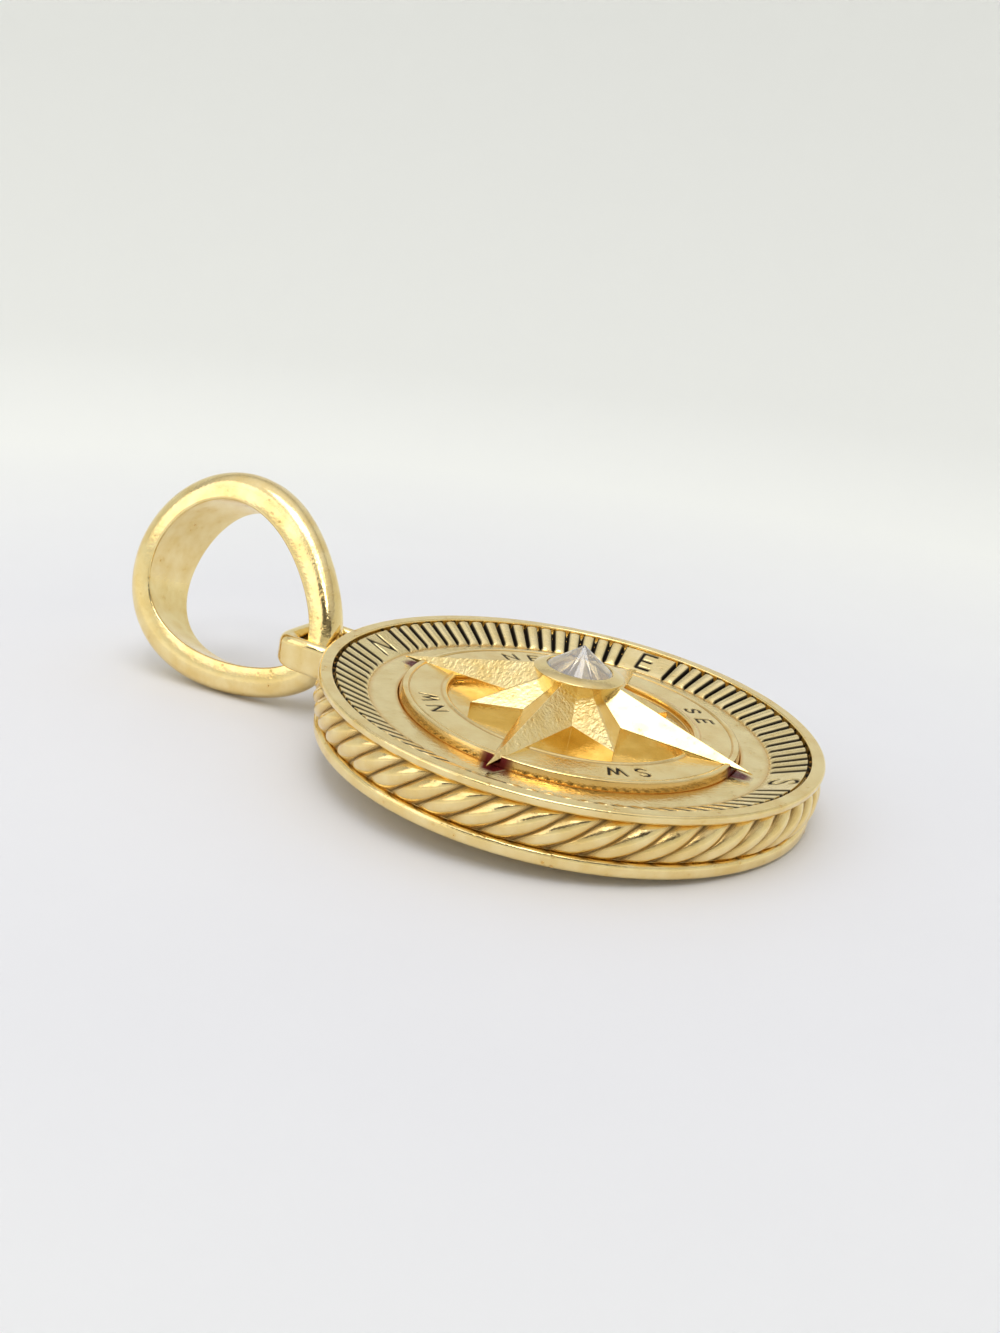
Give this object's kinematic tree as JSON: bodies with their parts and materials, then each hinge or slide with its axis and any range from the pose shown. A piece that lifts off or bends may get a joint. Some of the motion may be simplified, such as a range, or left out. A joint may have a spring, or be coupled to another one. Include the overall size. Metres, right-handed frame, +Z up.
{
  "type": "compass pendant",
  "caption": "Round gold pendant with a compass dial, a raised eight-point star holding a stone, a roped edge and a swinging bail.",
  "frame": {"origin": "on the surface the pendant lies on, under the middle of its bounding box", "axes": "+Z up from the surface; +Y from the compass's S side towards its N side and the bail; +X towards E. The dial faces +Z, its north side raised about 4.8 degrees on the bail."},
  "size_m": [0.025, 0.0397, 0.0114],
  "materials": {
    "case_gold": "polished",
    "rope_gold": "polished, darker between the strands",
    "dial_gold": "polished ribs over blackened grooves and letters",
    "plate_gold": "polished with blackened letters",
    "star_gold": "polished and satin facets in turn",
    "collet_gold": "polished",
    "stone": "clear, polished facets",
    "bail_gold": "polished"
  },
  "bodies": {
    "pendant": {"case": "case_gold", "rope_band": "rope_gold", "fluted_ring": "dial_gold", "compass_plate": "plate_gold", "compass_star": "star_gold", "stone_collet": "collet_gold", "stone": "stone"},
    "bail": {"bail": "bail_gold"}
  },
  "joints": [
    {"name": "bail_swing", "type": "hinge", "parent": "pendant", "child": "bail", "pos_m": [0, 0.00866, 0.00347], "axis": [1, 0, 0], "range_deg": [-25, 25]}
  ]
}
